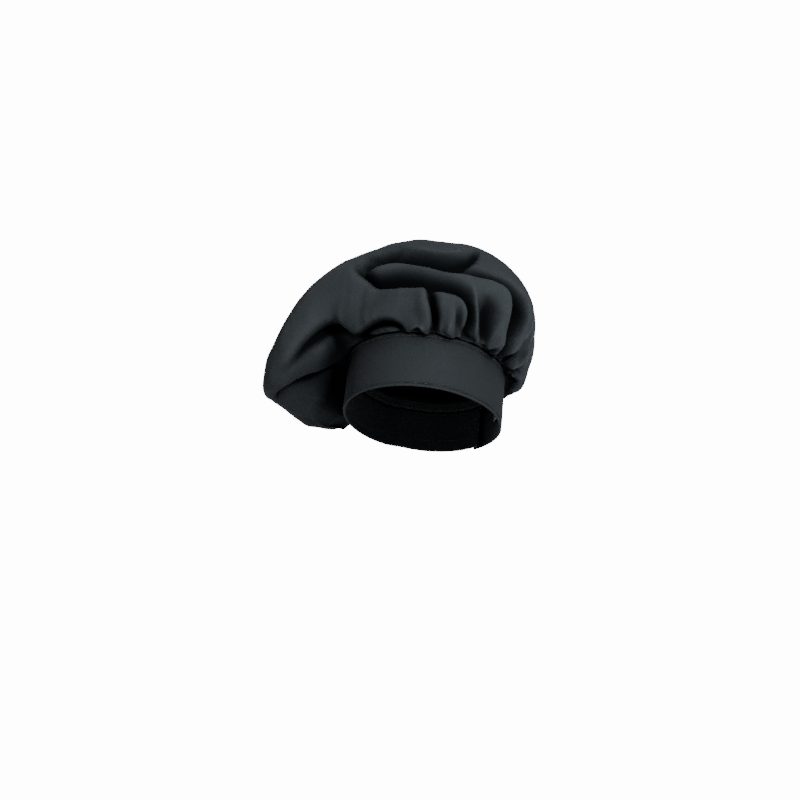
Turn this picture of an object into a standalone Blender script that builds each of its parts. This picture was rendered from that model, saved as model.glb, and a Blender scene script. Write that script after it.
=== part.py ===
"""Chef's toque with a soft gathered crown and an adjustable hook-and-loop band.

Row frame: origin at the centre of the head opening, in the plane of the band's lower rim.
+Z up along the band, -Y the wearer's front, -X the wearer's right (the side the crown falls to).
Lengths below are in millimetres and become metres when a mesh is made.
"""
import math

import bmesh
import bpy
import numpy as np

# ---------------------------------------------------------------- driving dimensions (mm)
BAND_HALF_X = 85.5          # outside of the band, half its width
BAND_HALF_Y = 102.6         # outside of the band, half its length
BAND_HEIGHT = 60.0
PLY = 0.6                   # one ply of band cloth
CORE = 0.8                  # interlining between the plies
GAP = 0.3                   # between neighbouring pieces
BAND_DEPTH = 2 * PLY + CORE + 2 * GAP      # 2.6, outer face to inner face

TAPE = 0.9                  # hook tape and loop tape
CLOSURE_DIP = BAND_DEPTH + 2 * TAPE + 3 * GAP   # how far the under-end sits inside the tab

TAB_ROOT = 60.0             # angles along the band ellipse, degrees, 90 = centre back
TAB_END = 118.0
UNDER_END = 52.0
DIP_END = 34.0
DIP_START = 134.0
DIP_FULL = 120.0
TAB_LOW, TAB_HIGH = 6.0, 54.0
TAB_CORNER = 9.0
HOOK_FROM, HOOK_TO = 86.0, 114.0
LOOP_FROM, LOOP_TO = 66.0, 119.0
TAPE_LOW, TAPE_HIGH = 11.0, 49.0

CROWN_SHELL = 1.2           # thickness of the crown shell
SKIRT_LOW = 50.0            # the crown's gathered edge hangs this high inside the band
BINDING = 0.8
BINDING_LOW, BINDING_HIGH = 47.0, 57.5

THREAD_R = 0.35             # stitched rows are one continuous thread each
STEP = 5.0                  # angular step shared by every layer so that gaps stay even

# The crown's meridians. Azimuth in degrees from +X: (out from the band, up from its top) four
# times, then (distance from the axis, height) from the widest point to the top.
CROWN_MERIDIANS = {
    14: [(0, 0), (6, 5), (13, 5), (20, 22), (115, 112), (111, 147), (92, 174), (63, 191), (32, 201), (0, 201)],
    50: [(0, 0), (7, 5), (17, 6), (27, 15), (128, 104), (121, 138), (99, 168), (68, 187), (36, 198), (0, 201)],
    80: [(0, 0), (8, 5), (20, 6), (34, 13), (140, 98), (133, 132), (110, 162), (75, 184), (40, 196), (0, 201)],
    104: [(0, 0), (8, 4), (22, 4), (36, 8), (145, 90), (140, 124), (118, 156), (81, 181), (42, 194), (0, 201)],
    120: [(0, 0), (8, 1), (22, -3), (38, -4), (148, 74), (146, 110), (126, 145), (86, 176), (44, 193), (0, 201)],
    150: [(0, 0), (8, -8), (18, -36), (32, -53), (150, 34), (152, 80), (134, 126), (94, 163), (50, 190), (0, 201)],
    175: [(0, 0), (10, -8), (28, -38), (54, -55), (170, 34), (162, 84), (138, 131), (94, 163), (50, 192), (0, 201)],
    -166: [(0, 0), (12, -7), (38, -36), (77, -53), (177, 42), (163, 84), (144, 130), (101, 163), (54, 193), (0, 201)],
    -150: [(0, 0), (12, -4), (40, -24), (64, -36), (163, 62), (151, 112), (124, 146), (86, 168), (48, 194), (0, 201)],
    -134: [(0, 0), (12, 6), (26, 10), (36, 28), (136, 116), (124, 145), (100, 165), (70, 183), (38, 198), (0, 201)],
    -110: [(0, 0), (7, 6), (14, 18), (16, 38), (113, 122), (102, 148), (86, 173), (62, 191), (32, 201), (0, 201)],
    -76: [(0, 0), (6, 6), (11, 20), (10, 42), (101, 126), (90, 152), (73, 180), (51, 194), (27, 201), (0, 201)],
    -30: [(0, 0), (6, 5), (12, 14), (18, 34), (117, 116), (106, 150), (85, 176), (61, 194), (30, 202), (0, 201)],
}
# Rows of the crown mesh as fractions of a meridian, closer together where the folds lie.
CROWN_ROWS = [0.04, 0.08, 0.12, 0.16, 0.20, 0.24, 0.28, 0.32, 0.36, 0.40, 0.44, 0.49, 0.55, 0.62, 0.70, 0.79, 0.89]

# Creases between the rolls of cloth: (azimuth, fraction of the meridian) along each, then the
# height of the roll below the crease and the depth of the crease, in millimetres.
FOLDS = [
    ([(-48, .05), (-55, .13), (-59, .20), (-65, .245), (-76, .248), (-90, .245), (-104, .26), (-116, .31), (-126, .40)], 6.0, 9.0),
    ([(-26, .06), (-32, .14), (-36, .24), (-42, .32), (-52, .37), (-68, .39), (-88, .41), (-104, .42), (-116, .39)], 7.0, 8.0),
    ([(-8, .07), (-16, .18), (-22, .30), (-30, .43), (-44, .54), (-62, .58), (-84, .60)], 3.5, 4.5),
]

COLLECTION = "gathered_chef_toque"

# ---------------------------------------------------------------- small maths


def hermite(knots, values, at, period=None):
    """Smooth curve through values at knots, sampled at the positions in `at`."""
    knots = np.asarray(knots, float)
    values = np.asarray(values, float)
    if period:
        knots = np.concatenate([knots[-2:] - period, knots, knots[:2] + period])
        values = np.concatenate([values[-2:], values, values[:2]])
    ones = (-1,) + (1,) * (values.ndim - 1)
    h = np.diff(knots).reshape(ones)
    slope = np.diff(values, axis=0) / h
    m = np.empty_like(values)
    m[1:-1] = (slope[:-1] * h[1:] + slope[1:] * h[:-1]) / (h[1:] + h[:-1])
    m[0], m[-1] = slope[0], slope[-1]
    at = np.atleast_1d(np.asarray(at, float))
    i = np.clip(np.searchsorted(knots, at, side="right") - 1, 0, len(knots) - 2)
    t = ((at - knots[i]) / (knots[i + 1] - knots[i])).reshape(ones)
    w = (knots[i + 1] - knots[i]).reshape(ones)
    return ((2 * t**3 - 3 * t**2 + 1) * values[i] + (t**3 - 2 * t**2 + t) * w * m[i]
            + (-2 * t**3 + 3 * t**2) * values[i + 1] + (t**3 - t**2) * w * m[i + 1])


def smooth(x, lo, hi):
    t = np.clip((np.asarray(x, float) - lo) / (hi - lo), 0.0, 1.0)
    return t * t * (3 - 2 * t)


def band_point(angle_deg, out, z):
    """A point `out` mm outside the band's outer face at an angle along its ellipse."""
    t = np.radians(angle_deg)
    n = np.array([BAND_HALF_Y * np.cos(t), BAND_HALF_X * np.sin(t)])
    n = n / np.linalg.norm(n)
    return (BAND_HALF_X * math.cos(t) + out * n[0], BAND_HALF_Y * math.sin(t) + out * n[1], z)


def dip(angle_deg):
    """How far inward the strip runs under the closure tab, by angle."""
    a = np.asarray(angle_deg, float) % 360.0
    return CLOSURE_DIP * smooth(a, DIP_END, UNDER_END - 2) * (1 - smooth(a, DIP_FULL, DIP_START))


def azimuth_of(angle_deg):
    t = np.radians(angle_deg)
    return np.arctan2(BAND_HALF_Y * np.sin(t), BAND_HALF_X * np.cos(t))


def rim_radius(az):
    return BAND_HALF_X * BAND_HALF_Y / np.sqrt((BAND_HALF_Y * np.cos(az))**2 + (BAND_HALF_X * np.sin(az))**2)


def crown_meridians(az):
    keys = sorted(CROWN_MERIDIANS)
    rows = []
    for k in keys:
        r0 = rim_radius(math.radians(k))
        rows.append([(r0 + r, BAND_HEIGHT + z) if i < 4 else (r, z) for i, (r, z) in enumerate(CROWN_MERIDIANS[k])])
    start = math.radians(keys[0])
    prof = hermite(np.radians(keys), np.array(rows, float), (np.asarray(az) - start) % (2 * math.pi) + start, 2 * math.pi)
    prof[:, 0, 0] = rim_radius(np.asarray(az)) + 0.8
    prof[:, 0, 1] = BAND_HEIGHT + 1.9
    return prof


def crown_points(az, fractions):
    """Points of the crown's middle surface, [azimuth][fraction]."""
    prof = crown_meridians(az)
    step = np.linalg.norm(np.diff(prof, axis=1), axis=2)**0.8
    out = np.zeros((len(az), len(fractions), 3))
    for i, a in enumerate(az):
        t = np.concatenate([[0.0], np.cumsum(step[i])])
        t /= t[-1]
        knots = np.concatenate([t, [2 - t[-2]]])
        vals = np.concatenate([prof[i], [[-prof[i, -2, 0], prof[i, -2, 1]]]])
        q = hermite(knots, vals, fractions)
        out[i, :, 0] = q[:, 0] * math.cos(a)
        out[i, :, 1] = q[:, 0] * math.sin(a)
        out[i, :, 2] = q[:, 1]
    return out


def grid_normals(pts):
    du = np.roll(pts, -1, 0) - np.roll(pts, 1, 0)
    dv = np.gradient(pts, axis=1)
    n = np.cross(du, dv)
    return n / (np.linalg.norm(n, axis=-1, keepdims=True) + 1e-9)


def crease_offset(pts, normals, path, roll, depth):
    """Outward offset that raises a roll beside a crease and sinks the crease itself."""
    fine = hermite(np.arange(len(path)), np.array(path, float), np.linspace(0, len(path) - 1, 60))
    line = np.array([crown_points([math.radians(a)], [f])[0, 0] for a, f in fine])
    tang = np.gradient(line, axis=0)
    tang /= np.linalg.norm(tang, axis=1, keepdims=True) + 1e-9
    along = np.linspace(0, 1, 60)
    flat = pts.reshape(-1, 3)
    d = flat[:, None, :] - line[None]
    near = (d**2).sum(-1).argmin(1)
    dn = d[np.arange(len(flat)), near]
    side = np.cross(tang[near], normals.reshape(-1, 3))
    s = (dn * side).sum(1)
    s = np.sign(s) * np.linalg.norm(dn, axis=1)
    fade = smooth(along[near], 0.0, 0.16) * (1 - smooth(along[near], 0.72, 1.0))
    hump = roll * np.exp(-((s + 11) / np.where(s < -11, 22.0, 8.0))**2)
    sink = depth * np.exp(-((s - 5) / np.where(s < 5, 7.0, 15.0))**2)
    return ((hump - sink) * fade).reshape(pts.shape[:2])


# ---------------------------------------------------------------- making objects


def clear_scene():
    for ob in list(bpy.data.objects):
        bpy.data.objects.remove(ob, do_unlink=True)
    for mesh in list(bpy.data.meshes):
        bpy.data.meshes.remove(mesh)
    for col in list(bpy.data.collections):
        bpy.data.collections.remove(col)


def cloth_material(name, colour, rough):
    m = bpy.data.materials.new(name)
    m.use_nodes = True
    b = m.node_tree.nodes["Principled BSDF"]
    b.inputs["Base Color"].default_value = (*colour, 1.0)
    b.inputs["Roughness"].default_value = rough
    m.diffuse_color = (*colour, 1.0)
    return m


def new_object(name, data, colour, rough):
    ob = bpy.data.objects.new(name, data)
    collection.objects.link(ob)
    data.materials.append(cloth_material(name, colour, rough))
    return ob


def mesh_from(name, verts, faces, colour, rough):
    me = bpy.data.meshes.new(name)
    me.from_pydata([tuple(c / 1000.0 for c in v) for v in verts], [], faces)
    me.update()
    bm = bmesh.new()
    bm.from_mesh(me)
    bmesh.ops.recalc_face_normals(bm, faces=bm.faces)
    bm.to_mesh(me)
    bm.free()
    return new_object(name, me, colour, rough)


def loft(name, sections, closed, colour, rough):
    """Skin through sections of equal length, each a closed loop of points."""
    n = len(sections[0])
    verts = [p for s in sections for p in s]
    faces = []
    count = len(sections)
    for i in range(count if closed else count - 1):
        j = (i + 1) % count
        for k in range(n):
            l = (k + 1) % n
            faces.append((i * n + k, j * n + k, j * n + l, i * n + l))
    if not closed:
        faces.append(tuple(range(n)))
        faces.append(tuple((count - 1) * n + k for k in range(n)))
    return mesh_from(name, verts, faces, colour, rough)


def fold_section(low, high):
    """Section of a strip folded at its lower edge: (inward, z) round the doubled cloth."""
    d = BAND_DEPTH
    return [(0, high), (0, low + 0.8), (0.5, low), (d - 0.5, low), (d, low + 0.8), (d, high),
            (d - PLY, high), (d - PLY, low + 1.2), (d - PLY - 0.4, low + PLY), (PLY + 0.4, low + PLY),
            (PLY, low + 1.2), (PLY, high)]


def angles_between(start, end):
    """Angles from start to end on the shared grid, with both ends."""
    sign = 1 if end > start else -1
    first = math.floor(start / STEP) + 1 if sign > 0 else math.ceil(start / STEP) - 1
    out = [start]
    a = first * STEP
    while (a - end) * sign < -0.8:
        if abs(a - start) > 0.8:
            out.append(a)
        a += sign * STEP
    return out + [end]


def strip(name, angles, section, inward, colour, rough, closed=False):
    """Sweep a section of (inward, z) points along the band."""
    secs = []
    for a in angles:
        secs.append([band_point(a, -(inward(a) + i), z) for i, z in section(a)])
    return loft(name, secs, closed, colour, rough)


def thread(name, points, cyclic, colour):
    cu = bpy.data.curves.new(name, "CURVE")
    cu.dimensions = "3D"
    cu.bevel_depth = THREAD_R / 1000.0
    cu.bevel_resolution = 0
    cu.resolution_u = 1
    cu.use_fill_caps = True
    sp = cu.splines.new("POLY")
    sp.points.add(len(points) - 1)
    for p, q in zip(sp.points, points):
        p.co = (q[0] / 1000.0, q[1] / 1000.0, q[2] / 1000.0, 1.0)
    sp.use_cyclic_u = cyclic
    return new_object(name, cu, colour, 0.6)


def stitched_box(name, a0, a1, low, high, out, colour, corner=2.0):
    """A closed row of stitching round a rectangle on the band's surface, `out` mm from its face."""
    across = angles_between(a0, a1)
    deg = corner / 1.6
    pts = [band_point(a, out, low) for a in across[:-1] if a <= a1 - deg]
    pts[0] = band_point(a0 + deg, out, low)
    pts += [band_point(a1 - deg, out, low), band_point(a1, out, low + corner)]
    pts += [band_point(a1, out, high - corner), band_point(a1 - deg, out, high)]
    pts += [band_point(a, out, high) for a in reversed(across[1:-1]) if a0 + deg < a < a1 - deg]
    pts += [band_point(a0 + deg, out, high), band_point(a0, out, high - corner), band_point(a0, out, low + corner)]
    return thread(name, pts, True, colour)


# ---------------------------------------------------------------- build

clear_scene()
collection = bpy.data.collections.new(COLLECTION)
bpy.context.scene.collection.children.link(collection)

CLOTH = (0.023, 0.027, 0.031)
THREAD = (0.018, 0.020, 0.024)

# Crown: a gathered disc, one open shell with its gathered edge inside the band.
grid_angles = np.arange(0.0, 360.0, STEP)
az = azimuth_of(grid_angles)
body = crown_points(az, CROWN_ROWS)
norm = grid_normals(body)
lift = np.zeros(body.shape[:2])
for path, roll, depth in FOLDS:
    lift += crease_offset(body, norm, path, roll, depth)
rows = np.array(CROWN_ROWS)
lift *= smooth(rows, 0.03, 0.12)[None, :]
# shallow gathers that fade out above the band
lift += 1.1 * np.cos(np.radians(grid_angles) * 18)[:, None] * (smooth(rows, 0.0, 0.05) * (1 - smooth(rows, 0.10, 0.22)))[None, :]
body = body + norm * lift[..., None]
skirt_in = BAND_DEPTH + GAP + CROWN_SHELL / 2
rings = []
for inward, z in ((skirt_in, SKIRT_LOW), (skirt_in, BAND_HEIGHT - 0.6), (BAND_DEPTH, BAND_HEIGHT + 1.3), (-0.8, BAND_HEIGHT + 1.9)):
    ring = []
    for a in grid_angles:
        full = float(dip(a)) if inward > 0 else 0.0
        ring.append(band_point(a, -(inward + full), z))
    rings.append(ring)
for r in range(len(CROWN_ROWS)):
    rings.append([tuple(body[i, r]) for i in range(len(az))])
n_az = len(az)
verts = [p for ring in rings for p in ring]
faces = []
for r in range(len(rings) - 1):
    for i in range(n_az):
        j = (i + 1) % n_az
        faces.append((r * n_az + i, r * n_az + j, (r + 1) * n_az + j, (r + 1) * n_az + i))
top = len(verts)
verts.append((0.0, 0.0, 200.6))
for i in range(n_az):
    faces.append(((len(rings) - 1) * n_az + i, (len(rings) - 1) * n_az + (i + 1) % n_az, top))
crown = mesh_from("crown", verts, faces, CLOTH, 0.85)
shell = crown.modifiers.new("cloth_thickness", "SOLIDIFY")
shell.thickness = CROWN_SHELL / 1000.0
shell.offset = 0.0
shell.use_even_offset = False
shell.use_rim = True

# Binding over the raw gathered edge, a closed ring inside the band.
strip("gather_binding", list(grid_angles),
      lambda a: [(0, BINDING_LOW), (0, BINDING_HIGH), (BINDING, BINDING_HIGH), (BINDING, BINDING_LOW)],
      lambda a: BAND_DEPTH + GAP + CROWN_SHELL + GAP + float(dip(a)), (0.020, 0.022, 0.026), 0.8, closed=True)
thread("binding_stitch", [band_point(a, -(BAND_DEPTH + 2 * GAP + CROWN_SHELL + BINDING + GAP + THREAD_R + float(dip(a))), BINDING_LOW + 2.2)
                          for a in grid_angles], True, THREAD)

# Band: one strip folded at its lower edge, from the tab's root round the front to the under-end.
band_path = angles_between(TAB_ROOT, UNDER_END - 360.0)
strip("band", band_path, lambda a: fold_section(0.0, BAND_HEIGHT), lambda a: float(dip(a)) if a < 0 else 0.0, CLOTH, 0.85)
core_path = angles_between(TAB_ROOT - 0.6, UNDER_END - 360.0 + 0.6)
strip("band_interlining", core_path,
      lambda a: [(0, 2.0), (0, BAND_HEIGHT - 1.0), (CORE, BAND_HEIGHT - 1.0), (CORE, 2.0)],
      lambda a: PLY + GAP + (float(dip(a)) if a < 0 else 0.0), (0.16, 0.16, 0.17), 0.9)

# Closure: a tab sewn to the band's start, hook tape under it, loop tape on the under-end.
tab_angles = angles_between(TAB_ROOT + 0.25, TAB_END - 6.0)[:-1] + [TAB_END - 6.0, TAB_END - 3.4, TAB_END - 1.6, TAB_END - 0.5, TAB_END]


def tab_span(a, inset=0.0):
    """Lower and upper edge of the tab at an angle, with its rounded free end."""
    mm_per_deg = 1.53
    left = max(0.0, (TAB_END - a) * mm_per_deg - inset)
    r = TAB_CORNER - inset
    cut = 0.0 if left >= r else r - math.sqrt(max(0.0, r * r - (r - left)**2))
    return TAB_LOW + inset + cut * 0.92, TAB_HIGH - inset - cut * 0.92


strip("closure_tab", tab_angles, lambda a: fold_section(*tab_span(a)), lambda a: 0.0, CLOTH, 0.85)
tab_core = angles_between(TAB_ROOT + 1.0, TAB_END - 8.0)[:-1] + [TAB_END - 8.0, TAB_END - 5.4, TAB_END - 3.4, TAB_END - 2.2]
strip("tab_interlining", tab_core,
      lambda a: [(0, tab_span(a, 2.0)[0]), (0, tab_span(a, 2.0)[1] + 1.0), (CORE, tab_span(a, 2.0)[1] + 1.0), (CORE, tab_span(a, 2.0)[0])],
      lambda a: PLY + GAP, (0.16, 0.16, 0.17), 0.9)
strip("hook_tape", angles_between(HOOK_FROM, HOOK_TO),
      lambda a: [(0, TAPE_LOW), (0, TAPE_HIGH), (TAPE, TAPE_HIGH), (TAPE, TAPE_LOW)],
      lambda a: BAND_DEPTH + GAP, (0.012, 0.012, 0.013), 0.7)
strip("loop_tape", angles_between(LOOP_FROM, LOOP_TO),
      lambda a: [(0, TAPE_LOW), (0, TAPE_HIGH), (TAPE, TAPE_HIGH), (TAPE, TAPE_LOW)],
      lambda a: CLOSURE_DIP - GAP - TAPE, (0.016, 0.016, 0.018), 0.95)

# Stitching.
surface = GAP + THREAD_R
thread("band_lower_stitch", [band_point(a, surface - (float(dip(a)) if a < 0 else 0.0), 3.6)
                             for a in angles_between(TAB_ROOT - 2.0, UNDER_END - 360.0 + 3.0)], False, THREAD)
thread("band_upper_stitch", [band_point(a, surface - (float(dip(a)) if a < 0 else 0.0), BAND_HEIGHT - 3.2)
                             for a in angles_between(TAB_ROOT - 2.0, UNDER_END - 360.0 + 3.0)], False, THREAD)
stitched_box("tab_root_stitch", TAB_ROOT - 8.0, TAB_ROOT - 1.8, 9.0, 51.0, surface, THREAD)
stitched_box("tab_edge_stitch", TAB_ROOT + 2.2, TAB_END - 2.0, TAB_LOW + 3.0, TAB_HIGH - 3.0, surface, THREAD, corner=5.0)
stitched_box("hook_tape_stitch", HOOK_FROM + 1.5, HOOK_TO - 1.5, TAPE_LOW + 2.0, TAPE_HIGH - 2.0, surface, THREAD)
stitched_box("loop_tape_stitch", LOOP_FROM + 1.5, LOOP_TO - 1.5, TAPE_LOW + 2.0, TAPE_HIGH - 4.5,
             -(CLOSURE_DIP + BAND_DEPTH + GAP + THREAD_R), THREAD)

# Care label: a blank folded tape caught under the binding at the wearer's left.
strip("care_label", angles_between(13.0, 31.0),
      lambda a: [(0, 20.0), (0, SKIRT_LOW - 0.7), (0.6, SKIRT_LOW - 0.7), (0.6, 20.0)],
      lambda a: BAND_DEPTH + 0.5, (0.62, 0.62, 0.60), 0.6)
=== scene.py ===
"""Looks of a black gathered chef's toque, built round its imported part. Lengths here are millimetres until a mesh is made."""
import math

import bmesh
import bpy
import numpy as np
from mathutils import Matrix, Vector


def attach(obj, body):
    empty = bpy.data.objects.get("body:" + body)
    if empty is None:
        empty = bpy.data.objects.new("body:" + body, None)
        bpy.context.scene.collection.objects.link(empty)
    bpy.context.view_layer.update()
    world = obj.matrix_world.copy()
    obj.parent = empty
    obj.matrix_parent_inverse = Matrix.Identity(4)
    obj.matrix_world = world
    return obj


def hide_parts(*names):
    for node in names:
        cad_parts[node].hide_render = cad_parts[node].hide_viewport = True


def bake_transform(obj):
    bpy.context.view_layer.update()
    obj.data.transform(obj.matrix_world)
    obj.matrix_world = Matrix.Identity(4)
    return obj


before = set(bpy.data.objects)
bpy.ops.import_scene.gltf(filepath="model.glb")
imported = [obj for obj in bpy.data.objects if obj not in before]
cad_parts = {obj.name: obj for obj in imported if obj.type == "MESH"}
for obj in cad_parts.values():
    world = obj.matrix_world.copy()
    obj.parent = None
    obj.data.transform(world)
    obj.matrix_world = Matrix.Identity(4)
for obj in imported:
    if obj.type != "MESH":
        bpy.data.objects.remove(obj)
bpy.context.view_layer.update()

# ------------------------------------------------------------------ the shapes the part was built from
BAND_HALF_X, BAND_HALF_Y, BAND_HEIGHT = 85.5, 102.6, 60.0
BAND_DEPTH = 2.6
TAPE = 0.9
GAP = 0.3
CLOSURE_DIP = BAND_DEPTH + 2 * TAPE + 3 * GAP
TAB_ROOT, TAB_END, UNDER_END = 60.0, 118.0, 52.0
DIP_START, DIP_FULL, DIP_END = 134.0, 120.0, 34.0
TAB_LOW, TAB_HIGH, TAB_CORNER = 6.0, 54.0, 9.0
HOOK_FROM, HOOK_TO, LOOP_FROM, LOOP_TO = 86.0, 114.0, 66.0, 119.0
TAPE_LOW, TAPE_HIGH = 11.0, 49.0

CROWN_MERIDIANS = {
    14: [(0, 0), (6, 5), (13, 5), (20, 22), (115, 112), (111, 147), (92, 174), (63, 191), (32, 201), (0, 201)],
    50: [(0, 0), (7, 5), (17, 6), (27, 15), (128, 104), (121, 138), (99, 168), (68, 187), (36, 198), (0, 201)],
    80: [(0, 0), (8, 5), (20, 6), (34, 13), (140, 98), (133, 132), (110, 162), (75, 184), (40, 196), (0, 201)],
    104: [(0, 0), (8, 4), (22, 4), (36, 8), (145, 90), (140, 124), (118, 156), (81, 181), (42, 194), (0, 201)],
    120: [(0, 0), (8, 1), (22, -3), (38, -4), (148, 74), (146, 110), (126, 145), (86, 176), (44, 193), (0, 201)],
    150: [(0, 0), (8, -8), (18, -36), (32, -53), (150, 34), (152, 80), (134, 126), (94, 163), (50, 190), (0, 201)],
    175: [(0, 0), (10, -8), (28, -38), (54, -55), (170, 34), (162, 84), (138, 131), (94, 163), (50, 192), (0, 201)],
    -166: [(0, 0), (12, -7), (38, -36), (77, -53), (177, 42), (163, 84), (144, 130), (101, 163), (54, 193), (0, 201)],
    -150: [(0, 0), (12, -4), (40, -24), (64, -36), (163, 62), (151, 112), (124, 146), (86, 168), (48, 194), (0, 201)],
    -134: [(0, 0), (12, 6), (26, 10), (36, 28), (136, 116), (124, 145), (100, 165), (70, 183), (38, 198), (0, 201)],
    -110: [(0, 0), (7, 6), (14, 18), (16, 38), (113, 122), (102, 148), (86, 173), (62, 191), (32, 201), (0, 201)],
    -76: [(0, 0), (6, 6), (11, 20), (10, 42), (101, 126), (90, 152), (73, 180), (51, 194), (27, 201), (0, 201)],
    -30: [(0, 0), (6, 5), (12, 14), (18, 34), (117, 116), (106, 150), (85, 176), (61, 194), (30, 202), (0, 201)],
}


def hermite(knots, values, at, period=None):
    knots = np.asarray(knots, float)
    values = np.asarray(values, float)
    if period:
        knots = np.concatenate([knots[-2:] - period, knots, knots[:2] + period])
        values = np.concatenate([values[-2:], values, values[:2]])
    ones = (-1,) + (1,) * (values.ndim - 1)
    h = np.diff(knots).reshape(ones)
    slope = np.diff(values, axis=0) / h
    m = np.empty_like(values)
    m[1:-1] = (slope[:-1] * h[1:] + slope[1:] * h[:-1]) / (h[1:] + h[:-1])
    m[0], m[-1] = slope[0], slope[-1]
    at = np.atleast_1d(np.asarray(at, float))
    i = np.clip(np.searchsorted(knots, at, side="right") - 1, 0, len(knots) - 2)
    t = ((at - knots[i]) / (knots[i + 1] - knots[i])).reshape(ones)
    w = (knots[i + 1] - knots[i]).reshape(ones)
    return ((2 * t**3 - 3 * t**2 + 1) * values[i] + (t**3 - 2 * t**2 + t) * w * m[i]
            + (-2 * t**3 + 3 * t**2) * values[i + 1] + (t**3 - t**2) * w * m[i + 1])


def smooth(x, lo, hi):
    t = np.clip((np.asarray(x, float) - lo) / (hi - lo), 0.0, 1.0)
    return t * t * (3 - 2 * t)


def band_frame(angle):
    """Position on the band's outer face and its outward normal, arrays of angles in degrees."""
    t = np.radians(np.asarray(angle, float))
    p = np.stack([BAND_HALF_X * np.cos(t), BAND_HALF_Y * np.sin(t)], -1)
    n = np.stack([BAND_HALF_Y * np.cos(t), BAND_HALF_X * np.sin(t)], -1)
    return p, n / np.linalg.norm(n, axis=-1, keepdims=True)


def band_at(angle, out, z):
    p, n = band_frame(angle)
    q = p + n * np.asarray(out, float)[..., None]
    return np.concatenate([q, (np.zeros(q.shape[:-1]) + z)[..., None]], -1)


def dip(angle):
    a = np.asarray(angle, float) % 360.0
    return CLOSURE_DIP * smooth(a, DIP_END, UNDER_END - 2) * (1 - smooth(a, DIP_FULL, DIP_START))


def azimuth_of(angle):
    t = np.radians(angle)
    return np.arctan2(BAND_HALF_Y * np.sin(t), BAND_HALF_X * np.cos(t))


def rim_radius(az):
    return BAND_HALF_X * BAND_HALF_Y / np.sqrt((BAND_HALF_Y * np.cos(az))**2 + (BAND_HALF_X * np.sin(az))**2)


_keys = sorted(CROWN_MERIDIANS)
_rows = []
for _k in _keys:
    _r0 = rim_radius(math.radians(_k))
    _rows.append([(_r0 + r, BAND_HEIGHT + z) if i < 4 else (r, z) for i, (r, z) in enumerate(CROWN_MERIDIANS[_k])])
_rows = np.array(_rows, float)


def crown_points(az, fractions):
    az = np.asarray(az, float)
    start = math.radians(_keys[0])
    prof = hermite(np.radians(_keys), _rows, (az - start) % (2 * math.pi) + start, 2 * math.pi)
    prof[:, 0, 0] = rim_radius(az) + 0.8
    prof[:, 0, 1] = BAND_HEIGHT + 1.9
    step = np.linalg.norm(np.diff(prof, axis=1), axis=2)**0.8
    out = np.zeros((len(az), len(fractions), 3))
    for i, a in enumerate(az):
        t = np.concatenate([[0.0], np.cumsum(step[i])])
        t /= t[-1]
        q = hermite(np.concatenate([t, [2 - t[-2]]]), np.concatenate([prof[i], [[-prof[i, -2, 0], prof[i, -2, 1]]]]), fractions)
        out[i, :, 0] = q[:, 0] * math.cos(a)
        out[i, :, 1] = q[:, 0] * math.sin(a)
        out[i, :, 2] = q[:, 1]
    return out


def grid_normals(p):
    n = np.cross(np.roll(p, -1, 0) - np.roll(p, 1, 0), np.gradient(p, axis=1))
    return n / (np.linalg.norm(n, axis=-1, keepdims=True) + 1e-9)


def noise3(p, size, seed):
    """Smooth value noise in -1..1, p in mm, size the cell in mm."""
    rng = np.random.default_rng(seed)
    table = rng.uniform(-1, 1, 4096)
    q = np.asarray(p, float) / size + 100.0
    i = np.floor(q).astype(int)
    f = q - i
    f = f * f * (3 - 2 * f)
    out = np.zeros(q.shape[:-1])
    for dx in (0, 1):
        for dy in (0, 1):
            for dz in (0, 1):
                h = ((i[..., 0] + dx) * 73856093 ^ (i[..., 1] + dy) * 19349663 ^ (i[..., 2] + dz) * 83492791) & 4095
                w = (f[..., 0] if dx else 1 - f[..., 0]) * (f[..., 1] if dy else 1 - f[..., 1]) * (f[..., 2] if dz else 1 - f[..., 2])
                out += table[h] * w
    return out


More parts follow.
